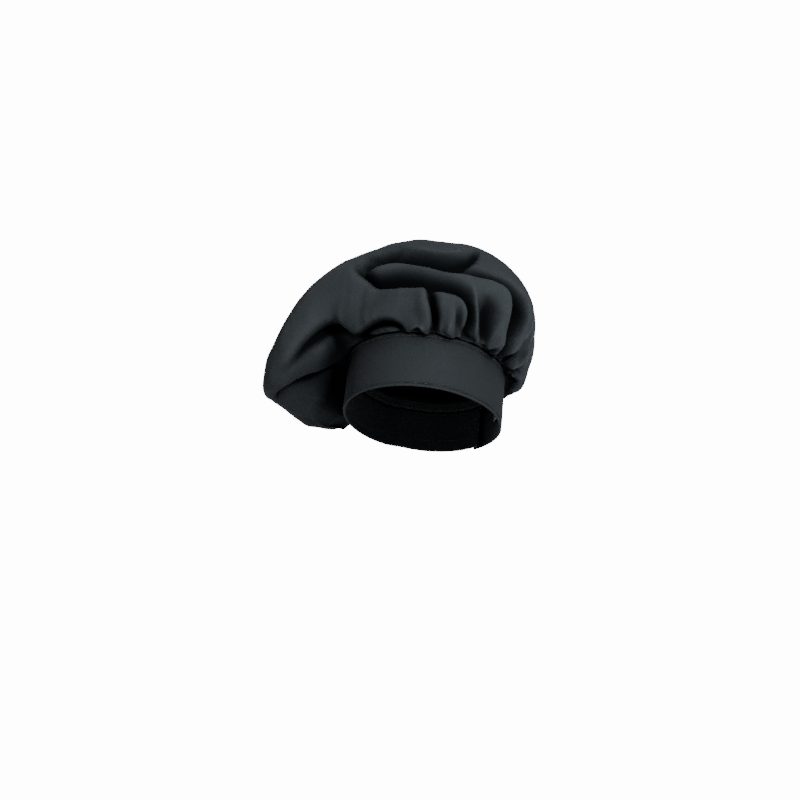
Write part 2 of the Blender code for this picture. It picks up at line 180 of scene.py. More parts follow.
# ------------------------------------------------------------------ crown folds
# A ledge is a crease with a roll of cloth beside it. Points: azimuth, fraction of the meridian,
# height of the roll, depth of the crease, how far the roll leans over the crease (mm).
# side +1: the roll is on the near side of the crease as the path runs; -1: on the far side.
LEDGES = [
    # front roll's upper edge; the last number is how wide the hollow beyond the crease is
    dict(side=1, crest=6, w_out=22, w_in=4, dip_at=3.5, w_near=3.4, pts=[
        (-57, .02, 4, 7, 2, 5), (-58, .06, 5, 11, 3, 6), (-58, .115, 6, 14, 4, 6), (-59, .165, 7, 16, 5, 7), (-63, .203, 8, 17, 7, 12),
        (-70, .206, 8, 19, 8, 17), (-78, .206, 8, 19, 8, 19), (-89, .210, 8, 19, 8, 20), (-101, .218, 8, 18, 7, 20), (-109, .243, 7, 14, 5, 14),
        (-114, .29, 6, 11, 4, 8), (-119, .345, 5, 7, 2, 6), (-125, .42, 1, 1, 0, 6)]),
    # second roll's upper edge and right side
    dict(side=1, crest=6, w_out=14, w_in=5, dip_at=6, w_near=4.5, pts=[
        (-24, .02, 3, 6, 1, 7), (-26, .055, 5, 8, 2, 8), (-29, .105, 7, 9, 3, 9), (-30, .17, 8, 10, 4, 9), (-32, .24, 9, 11, 5, 10),
        (-34, .30, 9, 12, 5, 10), (-37, .33, 8, 13, 6, 9), (-43, .341, 8, 11, 5, 8), (-54, .355, 9, 7, 3, 10), (-62, .362, 10, 7, 3, 11),
        (-70, .368, 11, 8, 3, 11), (-80, .387, 12, 8, 3, 11), (-96, .396, 11, 8, 3, 11), (-106, .396, 8, 6, 2, 10), (-113, .383, 4, 4, 1, 8),
        (-118, .37, 0, 0, 0, 8)]),
    # edge of the side roll that laps the second roll's hollow
    dict(side=-1, crest=6, w_out=14, w_in=4, dip_at=3.2, w_near=3.2, pts=[
        (-21, .015, 3, 5, 1, 5), (-21.5, .07, 5, 9, 3, 7), (-19.5, .13, 6, 12, 4, 9), (-17, .19, 6, 13, 4, 10), (-16.5, .25, 6, 13, 4, 10),
        (-19, .31, 5, 12, 4, 9), (-24, .35, 4, 9, 3, 7), (-31, .375, 2, 5, 1, 6), (-38, .385, 0, 0, 0, 6)]),
    # lower edge of the front roll where it falls towards the wearer's right
    dict(side=-1, crest=8, w_out=22, w_in=6, dip_at=5, w_near=4.5, pts=[
        (-114, .012, 2, 4, 1, 8), (-121, .045, 5, 9, 3, 11), (-125, .088, 8, 13, 5, 13), (-127, .130, 10, 16, 7, 14), (-130, .160, 10, 16, 7, 14),
        (-134, .185, 9, 14, 7, 12), (-139, .212, 7, 11, 5, 10), (-144, .245, 5, 8, 3, 9), (-150, .285, 2, 4, 1, 9), (-156, .32, 0, 0, 0, 9)]),
    # rim of the lobe
    dict(side=-1, crest=7, w_out=16, w_in=6, dip_at=5, w_near=5, pts=[
        (-163, .02, 1, 2, 0, 9), (-158, .055, 3, 5, 1, 11), (-154, .092, 5, 8, 3, 13), (-152, .133, 6, 10, 4, 14), (-152, .178, 6, 10, 4, 14),
        (-154, .222, 5, 9, 4, 13), (-159, .255, 4, 7, 3, 12), (-170, .288, 3, 6, 2, 12), (-184, .30, 2, 3, 1, 12), (-196, .30, 0, 0, 0, 12)]),
    # upright crease across the front roll
    dict(side=1, crest=3.2, w_out=8, w_in=2.6, dip_at=2.2, w_near=2.0, pts=[
        (-77.5, .008, 4, 6, 1, 4), (-77.5, .06, 6, 11, 2, 5.5), (-79, .115, 7, 13, 3, 6.5), (-80.5, .160, 6, 11, 2, 6.5), (-82, .20, 2, 4, 0, 5)]),
    # pinched fold lying along the band
    dict(side=-1, crest=4, w_out=10, w_in=2.6, dip_at=2.6, w_near=2.4, pts=[
        (-90.5, .012, 2, 5, 1, 4), (-92.5, .048, 5, 9, 2, 5), (-97, .080, 8, 13, 4, 6), (-103, .092, 9, 14, 5, 6), (-109, .086, 8, 12, 5, 6),
        (-116, .068, 5, 8, 3, 5), (-123, .048, 2, 4, 1, 5)]),
    # soft drapes over the back and the far side, where the cloth slumps
    dict(side=1, crest=12, w_out=26, w_in=9, dip_at=7, w_near=8, dark=0.2, pts=[
        (40, .24, 0, 0, 0, 16), (62, .31, 3, 4, 1, 17), (90, .37, 5, 7, 2, 18), (120, .41, 6, 8, 2, 18), (148, .47, 4, 5, 1, 17), (170, .54, 0, 0, 0, 16)]),
    dict(side=1, crest=12, w_out=24, w_in=10, dip_at=8, w_near=9, dark=0.2, pts=[
        (70, .54, 0, 0, 0, 16), (96, .59, 4, 6, 1, 17), (128, .62, 6, 8, 2, 18), (160, .62, 5, 7, 1, 17), (190, .60, 0, 0, 0, 16)]),
    dict(side=1, crest=10, w_out=20, w_in=8, dip_at=6, w_near=7, dark=0.3, pts=[
        (98, .12, 0, 0, 0, 12), (116, .19, 4, 6, 1, 13), (140, .25, 6, 9, 3, 14), (164, .27, 5, 7, 2, 14), (186, .25, 0, 0, 0, 12)]),
    dict(side=-1, crest=9, w_out=18, w_in=7, dip_at=6, w_near=6, dark=0.3, pts=[
        (22, .34, 0, 0, 0, 12), (40, .42, 3, 5, 1, 13), (62, .47, 5, 7, 2, 14), (84, .47, 4, 6, 1, 13), (104, .44, 0, 0, 0, 12)]),
    # soft break beside the front roll's right end
    dict(side=1, crest=3, w_out=7, w_in=3, dip_at=2.5, w_near=2.5, pts=[
        (-63, .02, 2, 3, 1, 5), (-64, .07, 3, 5, 1, 5), (-65, .12, 3, 5, 1, 5), (-66, .165, 1, 2, 0, 5), (-67, .19, 0, 0, 0, 5)]),
]
# A ridge (positive) or hollow (negative) along a path. Points: azimuth, fraction, height, half width (mm).
RIDGES = [
    [(-47, .02, 3, 2.4), (-50, .07, 6, 2.8), (-52, .14, 8, 3.2), (-53, .21, 7, 3.8), (-55, .27, 4, 5), (-57, .31, 0, 6)],
    [(-39, .02, -4, 4), (-42, .08, -12, 6), (-43.5, .14, -15, 7), (-44.5, .19, -12, 7.5), (-46, .24, -5, 8), (-48, .28, 0, 8)],
    [(-30, .02, 2, 3), (-32, .07, 3, 4), (-34, .14, 3, 5), (-35, .21, 3, 5), (-37, .27, 0, 6)],
    [(-42, .62, -2, 3), (-48, .56, -8, 3.4), (-54, .50, -13, 4.2), (-60, .465, -16, 7), (-66, .438, -17, 10), (-73, .43, -16, 11),
     (-82, .445, -14, 10), (-97, .462, -12, 9), (-107, .478, -12, 8), (-117, .495, -8, 7), (-124, .50, 0, 6)],
    [(-100, .53, -2, 6), (-107, .505, -9, 9), (-113, .47, -12, 9), (-117, .43, -10, 8), (-119, .39, -4, 6)],
    [(-56, .56, 3, 5), (-64, .53, 6, 7), (-74, .52, 7, 8), (-88, .53, 6, 8), (-100, .56, 2, 7)],
    [(-118.5, .35, -4, 2.5), (-117.5, .39, -5, 3), (-115, .43, -2, 3), (-112, .45, 0, 3)],
    [(-19, .02, 4, 2.4), (-17.5, .07, 6, 3), (-14, .13, 6, 4), (-12.5, .19, 4, 5), (-13, .25, 0, 6)],
    [(-11, .012, -6, 2.4), (-12, .05, -12, 3.6), (-11, .095, -14, 5), (-7.5, .14, -9, 5.5), (-3.5, .185, -2, 6), (-1, .21, 0, 6)],
    [(-6, .012, 4, 2.2), (-5.5, .045, 8, 3), (-1, .095, 9, 4), (4, .145, 7, 5), (9, .19, 3, 6), (12, .22, 0, 6)],
    [(0, .012, -6, 2.2), (3.5, .05, -11, 3.4), (9, .088, -10, 4.6), (16, .125, -4, 5), (21, .15, 0, 5)],
    [(5, .012, 4, 2.2), (9.5, .042, 7, 3), (15, .07, 6, 4), (22, .10, 2, 4.5), (27, .12, 0, 4)],
    [(11, .012, -4, 2.2), (16, .035, -7, 3), (22, .055, -5, 4), (28, .07, 0, 4)],
    # the small roll inside the pinched fold
    [(-91, .008, 2, 2.0), (-96, .028, 5, 2.6), (-104, .034, 6, 3), (-113, .030, 5, 2.8), (-121, .018, 2, 2.2)],
    # curls at the foot of the upright crease and between the gathers
    [(-80.5, .008, 2, 1.8), (-82, .030, 4, 2), (-84.5, .036, 4, 2), (-86.5, .022, 3, 1.8), (-87, .006, 1, 1.6)],
    [(-82.5, .010, -3, 1.6), (-84, .022, -5, 1.8), (-85.5, .012, -3, 1.6)],
    [(-57, .008, -3, 1.6), (-58.5, .03, -5, 2), (-60, .055, -3, 2.4), (-61, .08, 0, 3)],
    [(-37, .008, 4, 1.8), (-36, .03, 5, 2), (-34.5, .05, 4, 2.2), (-33, .07, 0, 2.6)],
    [(-34, .006, -4, 1.6), (-32.5, .022, -5, 1.8), (-31, .038, -3, 2), (-30, .055, 0, 2)],
]


def nearest_on(path, pts, normals, reach):
    """For grid points near a path: their ids, offset from the path in the surface, path parameters and tangent.
    Values come from a distance-weighted share of the whole path, so they change smoothly."""
    p = np.array(path, float)
    fine = hermite(np.arange(len(p)), p, np.linspace(0, len(p) - 1, 90))
    line = crown_points_at(np.radians(fine[:, 0]), fine[:, 1])
    tang = np.gradient(line, axis=0)
    tang /= np.linalg.norm(tang, axis=1, keepdims=True) + 1e-9
    flat, nrm = pts.reshape(-1, 3), normals.reshape(-1, 3)
    ids = np.where(((flat > line.min(0) - reach) & (flat < line.max(0) + reach)).all(1))[0]
    q, n = flat[ids], nrm[ids]
    dist = np.stack([np.sqrt(((q - c)**2).sum(1)) for c in line], 1)
    near = dist.min(1)
    keep = near < reach
    ids, q, n, dist, near = ids[keep], q[keep], n[keep], dist[keep], near[keep]
    w = np.exp(-(dist - near[:, None]) / (0.9 + 0.10 * near[:, None]))
    w /= w.sum(1, keepdims=True)
    foot, t, par = w @ line, w @ tang, w @ fine
    t /= np.linalg.norm(t, axis=1, keepdims=True) + 1e-9
    d = q - foot
    d = d - n * (d * n).sum(1)[:, None]
    side = np.cross(t, n)
    side /= np.linalg.norm(side, axis=1, keepdims=True) + 1e-9
    return ids, n, side, (d * side).sum(1), (d * t).sum(1), par


def fold_vectors(pts, normals, fold, warp):
    ids, n, side, s, al, par = nearest_on(fold["pts"], pts, normals, 70)
    side, s = side * fold["side"], s * fold["side"]
    s = s + warp.reshape(-1)[ids]
    roll, depth, lean, wide = np.clip(par[:, 2], 0, None), np.clip(par[:, 3], 0, None), par[:, 4], np.clip(par[:, 5], 2, None)
    end = np.exp(-(al / 10.0)**2)
    cr = fold["crest"]
    hump = roll * np.exp(-((s + cr) / np.where(s < -cr, fold["w_out"], fold["w_in"]))**2)
    sink = depth * np.exp(-((s - fold["dip_at"]) / np.where(s < fold["dip_at"], fold["w_near"], wide))**2)
    push = lean * np.exp(-((s + cr * 0.5) / (cr * 0.95))**2)
    sink = sink * 1.25
    out = np.zeros((pts.size // 3, 3))
    out[ids] = (n * (hump - sink)[:, None] + side * push[:, None]) * end[:, None]
    # painted shade: the crease's hollow gets a fold value that darkens the cloth there, scaled by the ledge's dark
    hid = np.zeros(pts.size // 3)
    hid[ids] = np.clip(sink * end / 10.0, 0, 1) * smooth(s, -2.5, 2.0) * fold.get("dark", 1.0)
    return out.reshape(pts.shape), hid.reshape(pts.shape[:2])


def ridge_lift(pts, normals, path, warp):
    ids, n, side, s, al, par = nearest_on(path, pts, normals, 30)
    s = s + 0.6 * warp.reshape(-1)[ids]
    out = np.zeros(pts.size // 3)
    out[ids] = par[:, 2] * np.exp(-(np.abs(s) / np.clip(par[:, 3], 1.5, None))**1.5) * np.exp(-(al / 6.0)**2)
    return out.reshape(pts.shape[:2])


def crown_points_at(az, frac):
    """One point per (azimuth, fraction) pair."""
    return np.array([crown_points([a], [f])[0, 0] for a, f in zip(az, frac)])


def build_crown():
    nu = 576
    angles = np.linspace(0, 360, nu, endpoint=False)
    az = azimuth_of(angles)
    low = np.concatenate([np.linspace(0.004, 0.16, 36), np.linspace(0.168, 0.62, 78), np.linspace(0.63, 0.985, 36)])
    rows = low
    base = crown_points(az, rows)
    nrm = grid_normals(base)
    # metres along each meridian, for the gathers
    run = np.concatenate([np.zeros((nu, 1)), np.cumsum(np.linalg.norm(np.diff(base, axis=1), axis=2), axis=1)], axis=1)
    warp = 1.8 * noise3(base, 38, 5) + 1.0 * noise3(base, 16, 6)
    move = np.zeros_like(base)
    # hidden: painted shade at each point, the fold value that darkens the cloth in crease and ridge hollows
    hidden = np.zeros(base.shape[:2])
    for f in LEDGES:
        shift, deep = fold_vectors(base, nrm, f, warp)
        move += shift
        hidden = np.maximum(hidden, deep)
    for r in RIDGES:
        lift = ridge_lift(base, nrm, r, warp)
        move += nrm * lift[..., None]
        hidden = np.maximum(hidden, np.clip(-lift / 11.0, 0, 1))
    spread = np.random.default_rng(29)
    for az0 in np.arange(47, 164, 11.5):
        a0 = az0 + spread.uniform(-3.5, 3.5)
        lean, tall, reach = spread.uniform(-8, 8), spread.uniform(2.8, 5.6), spread.uniform(0.24, 0.46)
        path = [(a0, .010, tall * 0.8, 3.0), (a0 + lean * 0.25, reach * 0.28, tall, 5.0), (a0 + lean * 0.6, reach * 0.62, tall * 0.75, 8.0), (a0 + lean, reach, 0, 11.0)]
        move += nrm * ridge_lift(base, nrm, path, warp)[..., None]
    for _ in range(2):
        move = 0.25 * np.roll(move, 1, 0) + 0.5 * move + 0.25 * np.roll(move, -1, 0)
        inner = 0.25 * move[:, :-2] + 0.5 * move[:, 1:-1] + 0.25 * move[:, 2:]
        move = np.concatenate([move[:, :1], inner, move[:, -1:]], axis=1)
    # gathers at the seam
    rng = np.random.default_rng(11)
    circ = 592.0
    pos = np.cumsum(rng.uniform(0.55, 1.45, 74))
    pos = pos / pos[-1] * 360.0
    lift = np.zeros((nu, len(rows)))
    for k, c in enumerate(pos):
        width = rng.uniform(1.7, 3.2)
        height = rng.uniform(1.4, 3.8)
        length = rng.uniform(9, 34)
        drift = rng.uniform(-0.22, 0.22)
        azc = math.degrees(azimuth_of(c))
        azc = (azc + 180) % 360 - 180
        front = math.exp(-(((azc + 95) / 36.0))**2) + math.exp(-(((azc + 140) / 22.0))**2)
        height *= 1 - 0.6 * min(front, 1)
        length *= 1 - 0.5 * min(front, 1)
        if -48 < azc < 185 and min(front, 1) < 0.4:
            height *= 1.4
            length *= 1.5
        delta = ((angles - c + 180) % 360 - 180) * circ / 360.0
        delta = delta[:, None] - drift * run
        spread = width * (1 + run / 24.0)
        lift += height * np.exp(-(np.abs(delta) / spread)**1.6) * smooth(run, 0, 4) * np.exp(-(run / length)**1.4)
    lift -= lift.mean(0, keepdims=True)
    # soft slack in the cloth
    soft = 1.6 * noise3(base, 46, 21) + 0.8 * noise3(base, 21, 22) + 0.22 * noise3(base, 9, 23)
    soft *= smooth(run, 4, 30)
    # faint pulled lines running up from the gathers
    arc = np.stack([BAND_HALF_X * np.cos(np.radians(angles)), BAND_HALF_Y * np.sin(np.radians(angles))], -1)[:, None, :] + 0 * run[..., None]
    pulled = np.concatenate([arc / 7.0, run[..., None] / 46.0], -1) * 10.0
    soft += 1.5 * noise3(pulled, 10, 31) * smooth(run, 3, 16) * np.exp(-(run / 62.0)**2)
    pts = base + move + nrm * (lift + soft)[..., None]
    # skirt inside the band and the turn over its top edge
    rings = []
    pleat = np.interp(angles, np.sort(np.concatenate([pos, pos + 360, pos - 360])), np.tile([0.0], 222))
    for inward, z in ((3.5, 50.0), (3.5, 53.0), (3.5, 56.0), (3.5, 59.4), (3.1, 60.6), (2.2, 61.4), (1.0, 61.9), (0.0, 62.0)):
        full = dip(angles) if inward > 0.5 else dip(angles) * 0
        ring = band_at(angles, -(inward + full), z)
        rings.append(ring)
    pts = np.concatenate([np.stack(rings, 1), pts], axis=1)
    # painted shade in the hollows between the gathers
    hidden = np.maximum(hidden, 0.8 * np.clip(-lift / 3.0, 0, 1))
    # painted shade under the lobe, close against the band, where the cloth faces down
    hidden = np.maximum(hidden, 0.52 * smooth(-nrm[..., 2], 0.05, 0.7) * smooth(BAND_HEIGHT + 8 - base[..., 2], 0, 30))
    # the skirt inside the band and its turn are painted half in shade
    hidden = np.concatenate([np.repeat(hidden[:, :1] * 0 + 0.5, len(rings), 1), hidden], axis=1)
    return angles, pts, hidden


def mesh_grid(name, pts, closed_u=True, cap=None, uv=None):
    """A quad grid mesh from pts[u][v] in mm."""
    nu, nv = pts.shape[:2]
    verts = (pts.reshape(-1, 3) / 1000.0)
    idx = np.arange(nu * nv).reshape(nu, nv)
    a = idx if closed_u else idx[:-1]
    b = np.roll(idx, -1, 0) if closed_u else idx[1:]
    faces = np.stack([a[:, :-1], b[:, :-1], b[:, 1:], a[:, 1:]], -1).reshape(-1, 4).tolist()
    verts = verts.tolist()
    if cap is not None:
        verts.append([c / 1000.0 for c in cap])
        top = len(verts) - 1
        for i in range(nu):
            faces.append([int(idx[i, -1]), int(idx[(i + 1) % nu, -1]), top])
    me = bpy.data.meshes.new(name)
    me.from_pydata(verts, [], faces)
    me.update()
    if uv is not None:
        lay = me.uv_layers.new(name="cloth")
        flat = uv.reshape(-1, 2)
        if cap is not None:
            flat = np.concatenate([flat, [[0.0, 0.0]]])
        li = np.zeros(len(me.loops), int)
        me.loops.foreach_get("vertex_index", li)
        lay.data.foreach_set("uv", flat[li].astype(np.float32).ravel())
    for p in me.polygons:
        p.use_smooth = True
    ob = bpy.data.objects.new(name, me)
    bpy.context.scene.collection.objects.link(ob)
    return ob


# ------------------------------------------------------------------ materials
def new_mat(name):
    m = bpy.data.materials.new(name)
    m.use_nodes = True
    nt = m.node_tree
    return m, nt, nt.nodes["Principled BSDF"]


def node(nt, kind, **props):
    n = nt.nodes.new(kind)
    for k, v in props.items():
        setattr(n, k, v)
    return n


def math_node(nt, op, a, b=None):
    n = node(nt, "ShaderNodeMath", operation=op)
    for i, x in enumerate((a, b)):
        if x is None:
            continue
        if isinstance(x, (int, float)):
            n.inputs[i].default_value = x
        else:
            nt.links.new(x, n.inputs[i])
    return n.outputs[0]


def cloth_mat(name, colour, lighter, pitch=0.9, use_uv=True, sheen=0.06, rough=0.86, twill=True, bump=0.25, lint=0.5, folds=False):
    """Woven cloth. Cloth coordinates are metres, from the uv map, or object coordinates."""
    m, nt, b = new_mat(name)
    if use_uv:
        co = node(nt, "ShaderNodeUVMap", uv_map="cloth").outputs[0]
    else:
        co = node(nt, "ShaderNodeTexCoord").outputs["Object"]
    sep = node(nt, "ShaderNodeSeparateXYZ")
    nt.links.new(co, sep.inputs[0])
    k = 2 * math.pi / (pitch / 1000.0)
    u = math_node(nt, "MULTIPLY", sep.outputs[0], k)
    v = math_node(nt, "MULTIPLY", sep.outputs[1] if use_uv else sep.outputs[2], k)
    if twill:
        diag = math_node(nt, "SINE", math_node(nt, "ADD", u, v))
        cross = math_node(nt, "SINE", math_node(nt, "MULTIPLY", math_node(nt, "SUBTRACT", u, v), 2.0))
        weave = math_node(nt, "ADD", diag, math_node(nt, "MULTIPLY", cross, 0.35))
    else:
        weave = math_node(nt, "MULTIPLY", math_node(nt, "SINE", u), math_node(nt, "SINE", v))
    fine = node(nt, "ShaderNodeTexNoise")
    fine.inputs["Scale"].default_value = 900.0
    fine.inputs["Detail"].default_value = 3.0
    nt.links.new(co, fine.inputs["Vector"])
    broad = node(nt, "ShaderNodeTexNoise")
    broad.inputs["Scale"].default_value = 22.0
    broad.inputs["Detail"].default_value = 4.0
    nt.links.new(node(nt, "ShaderNodeTexCoord").outputs["Object"], broad.inputs["Vector"])
    # colour: dark yarn, a little lighter on the raised yarns and in broad patches; the sharp fold crests are painted
    # lighter from the mesh's pointiness, a painted highlight
    geo = node(nt, "ShaderNodeNewGeometry")
    # painted highlight: the fold crests, read from pointiness, take up to 0.45 more of the lighter colour
    ridge_highlight = node(nt, "ShaderNodeMapRange")
    ridge_highlight.inputs["From Min"].default_value = 0.505
    ridge_highlight.inputs["From Max"].default_value = 0.545
    nt.links.new(geo.outputs["Pointiness"], ridge_highlight.inputs["Value"])
    mix = node(nt, "ShaderNodeMix", data_type="RGBA")
    mix.inputs["A"].default_value = (*colour, 1)
    mix.inputs["B"].default_value = (*lighter, 1)
    amount = math_node(nt, "MULTIPLY", math_node(nt, "ADD", weave, 1.35), 0.16)
    amount = math_node(nt, "ADD", amount, math_node(nt, "MULTIPLY", ridge_highlight.outputs[0], 0.45))
    amount = math_node(nt, "ADD", amount, math_node(nt, "MULTIPLY", math_node(nt, "SUBTRACT", broad.outputs["Fac"], 0.5), 0.5))
    amount = math_node(nt, "ADD", amount, math_node(nt, "MULTIPLY", math_node(nt, "SUBTRACT", fine.outputs["Fac"], 0.5), lint))
    clamp = node(nt, "ShaderNodeClamp")
    nt.links.new(amount, clamp.inputs[0])
    nt.links.new(clamp.outputs[0], mix.inputs["Factor"])
    # painted shade: creases and recesses are darkened by two ambient occlusion reads, on top of what the lights do
    ao = node(nt, "ShaderNodeAmbientOcclusion")
    ao.samples = 6
    ao.inputs["Distance"].default_value = 0.034
    wide = node(nt, "ShaderNodeAmbientOcclusion")
    wide.samples = 6
    wide.inputs["Distance"].default_value = 0.11
    deep = math_node(nt, "MULTIPLY", math_node(nt, "POWER", ao.outputs["AO"], 1.6), math_node(nt, "POWER", wide.outputs["AO"], 1.7))
    shade = node(nt, "ShaderNodeMix", data_type="RGBA")
    shade.inputs["A"].default_value = (colour[0] * 0.12, colour[1] * 0.12, colour[2] * 0.12, 1)
    nt.links.new(mix.outputs["Result"], shade.inputs["B"])
    nt.links.new(deep, shade.inputs["Factor"])
    open_cloth = deep
    if folds:
        # painted shade: the insides of the folds are darkened again by the mesh's own fold value
        fold = node(nt, "ShaderNodeAttribute", attribute_name="fold")
        inside = math_node(nt, "MULTIPLY", math_node(nt, "POWER", fold.outputs["Fac"], 1.15), 0.90)
        keep = node(nt, "ShaderNodeMix", data_type="RGBA")
        nt.links.new(shade.outputs["Result"], keep.inputs["A"])
        keep.inputs["B"].default_value = (colour[0] * 0.14, colour[1] * 0.14, colour[2] * 0.14, 1)
        nt.links.new(inside, keep.inputs["Factor"])
        nt.links.new(keep.outputs["Result"], b.inputs["Base Color"])
        open_cloth = math_node(nt, "MULTIPLY", deep, math_node(nt, "SUBTRACT", 1.0, inside))
    else:
        nt.links.new(shade.outputs["Result"], b.inputs["Base Color"])
    b.inputs["Roughness"].default_value = rough
    # gloss and sheen fade out with the same painted shade
    nt.links.new(math_node(nt, "MULTIPLY", open_cloth, 0.26), b.inputs["Specular IOR Level"])
    nt.links.new(math_node(nt, "MULTIPLY", open_cloth, sheen), b.inputs["Sheen Weight"])
    b.inputs["Sheen Roughness"].default_value = 0.45
    b.inputs["Sheen Tint"].default_value = (0.80, 0.88, 1.0, 1)
    height = math_node(nt, "ADD", math_node(nt, "MULTIPLY", weave, 0.5), math_node(nt, "MULTIPLY", fine.outputs["Fac"], 0.8))
    bm = node(nt, "ShaderNodeBump")
    bm.inputs["Strength"].default_value = bump
    bm.inputs["Distance"].default_value = 0.00018
    nt.links.new(height, bm.inputs["Height"])
    # small creases left by wear
    crumple = node(nt, "ShaderNodeTexNoise")
    crumple.inputs["Scale"].default_value = 85.0
    crumple.inputs["Detail"].default_value = 3.0
    crumple.inputs["Distortion"].default_value = 0.6
    nt.links.new(node(nt, "ShaderNodeTexCoord").outputs["Object"], crumple.inputs["Vector"])
    worn = node(nt, "ShaderNodeBump")
    worn.inputs["Strength"].default_value = 0.55
    worn.inputs["Distance"].default_value = 0.0011 if folds else 0.0005
    nt.links.new(crumple.outputs["Fac"], worn.inputs["Height"])
    nt.links.new(bm.outputs[0], worn.inputs["Normal"])
    nt.links.new(worn.outputs[0], b.inputs["Normal"])
    return m


def plain_cloth(name, colour, lighter, scale, rough, sheen=0.05):
    """Felted or moulded textile: fine fibre noise in colour, roughness and bump."""
    m, nt, b = new_mat(name)
    co = node(nt, "ShaderNodeTexCoord").outputs["Object"]
    fine = node(nt, "ShaderNodeTexNoise")
    fine.inputs["Scale"].default_value = scale
    fine.inputs["Detail"].default_value = 4.0
    nt.links.new(co, fine.inputs["Vector"])
    broad = node(nt, "ShaderNodeTexNoise")
    broad.inputs["Scale"].default_value = 90.0
    nt.links.new(co, broad.inputs["Vector"])
    fac = math_node(nt, "MULTIPLY", math_node(nt, "ADD", fine.outputs["Fac"], broad.outputs["Fac"]), 0.5)
    spread = node(nt, "ShaderNodeMapRange")
    spread.inputs["From Min"].default_value = 0.35
    spread.inputs["From Max"].default_value = 0.65
    nt.links.new(fac, spread.inputs["Value"])
    mix = node(nt, "ShaderNodeMix", data_type="RGBA")
    mix.inputs["A"].default_value = (*colour, 1)
    mix.inputs["B"].default_value = (*lighter, 1)
    nt.links.new(spread.outputs[0], mix.inputs["Factor"])
    nt.links.new(mix.outputs["Result"], b.inputs["Base Color"])
    rr = node(nt, "ShaderNodeMapRange")
    rr.inputs["To Min"].default_value = rough - 0.08
    rr.inputs["To Max"].default_value = min(1.0, rough + 0.05)
    nt.links.new(fine.outputs["Fac"], rr.inputs["Value"])
    nt.links.new(rr.outputs[0], b.inputs["Roughness"])
    b.inputs["Specular IOR Level"].default_value = 0.35
    b.inputs["Sheen Weight"].default_value = sheen
    bm = node(nt, "ShaderNodeBump")
    bm.inputs["Strength"].default_value = 0.4
    bm.inputs["Distance"].default_value = 0.0002
    nt.links.new(fine.outputs["Fac"], bm.inputs["Height"])
    nt.links.new(bm.outputs[0], b.inputs["Normal"])
    return m


def thread_mat(name, colour, lighter):
    """Twisted polyester thread with a slight shine."""
    m, nt, b = new_mat(name)
    co = node(nt, "ShaderNodeTexCoord").outputs["Object"]
    twist = node(nt, "ShaderNodeTexWave", wave_type="BANDS", bands_direction="DIAGONAL")
    twist.inputs["Scale"].default_value = 620.0
    twist.inputs["Distortion"].default_value = 1.5
    nt.links.new(co, twist.inputs["Vector"])
    mix = node(nt, "ShaderNodeMix", data_type="RGBA")
    mix.inputs["A"].default_value = (*colour, 1)
    mix.inputs["B"].default_value = (*lighter, 1)
    nt.links.new(math_node(nt, "MULTIPLY", twist.outputs["Fac"], 0.7), mix.inputs["Factor"])
    nt.links.new(mix.outputs["Result"], b.inputs["Base Color"])
    b.inputs["Roughness"].default_value = 0.52
    b.inputs["Specular IOR Level"].default_value = 0.45
    bm = node(nt, "ShaderNodeBump")
    bm.inputs["Strength"].default_value = 0.5
    bm.inputs["Distance"].default_value = 0.00008
    nt.links.new(twist.outputs["Fac"], bm.inputs["Height"])
    nt.links.new(bm.outputs[0], b.inputs["Normal"])
    return m


def satin_mat(name):
    """Grey woven satin with fine cross ribs and a faint mottled stain, the grey slightly warm."""
    m, nt, b = new_mat(name)
    uvn = node(nt, "ShaderNodeUVMap", uv_map="cloth").outputs[0]
    sep = node(nt, "ShaderNodeSeparateXYZ")
    nt.links.new(uvn, sep.inputs[0])
    ribs = math_node(nt, "SINE", math_node(nt, "MULTIPLY", sep.outputs[1], 2 * math.pi / 0.00045))
    yarn = math_node(nt, "SINE", math_node(nt, "MULTIPLY", sep.outputs[0], 2 * math.pi / 0.0008))
    weave = math_node(nt, "ADD", ribs, math_node(nt, "MULTIPLY", yarn, 0.4))
    stain = node(nt, "ShaderNodeTexNoise")
    stain.inputs["Scale"].default_value = 70.0
    stain.inputs["Detail"].default_value = 5.0
    nt.links.new(uvn, stain.inputs["Vector"])
    mix = node(nt, "ShaderNodeMix", data_type="RGBA")
    mix.inputs["A"].default_value = (0.19, 0.19, 0.18, 1)
    mix.inputs["B"].default_value = (0.29, 0.29, 0.28, 1)
    nt.links.new(math_node(nt, "ADD", stain.outputs["Fac"], math_node(nt, "MULTIPLY", weave, 0.12)), mix.inputs["Factor"])
    nt.links.new(mix.outputs["Result"], b.inputs["Base Color"])
    b.inputs["Roughness"].default_value = 0.40
    b.inputs["Sheen Weight"].default_value = 0.1
    b.inputs["Anisotropic"].default_value = 0.4
    bm = node(nt, "ShaderNodeBump")
    bm.inputs["Strength"].default_value = 0.35
    bm.inputs["Distance"].default_value = 0.0001
    nt.links.new(weave, bm.inputs["Height"])
    nt.links.new(bm.outputs[0], b.inputs["Normal"])
    return m


BLACK, BLACK_HI = (0.0215, 0.0268, 0.0310), (0.0440, 0.0530, 0.0605)
mat_crown = cloth_mat("crown_cloth", BLACK, BLACK_HI, folds=True)
# painted shade: the band and tab cloth is the crown's black darkened to 0.66, a shaded copy of the same cloth
mat_band = cloth_mat("band_cloth", tuple(0.66 * c for c in BLACK), tuple(0.66 * c for c in BLACK_HI), sheen=0.045)
mat_tape = cloth_mat("binding_cloth", (0.018, 0.020, 0.023), (0.04, 0.043, 0.047), pitch=0.5, twill=False)

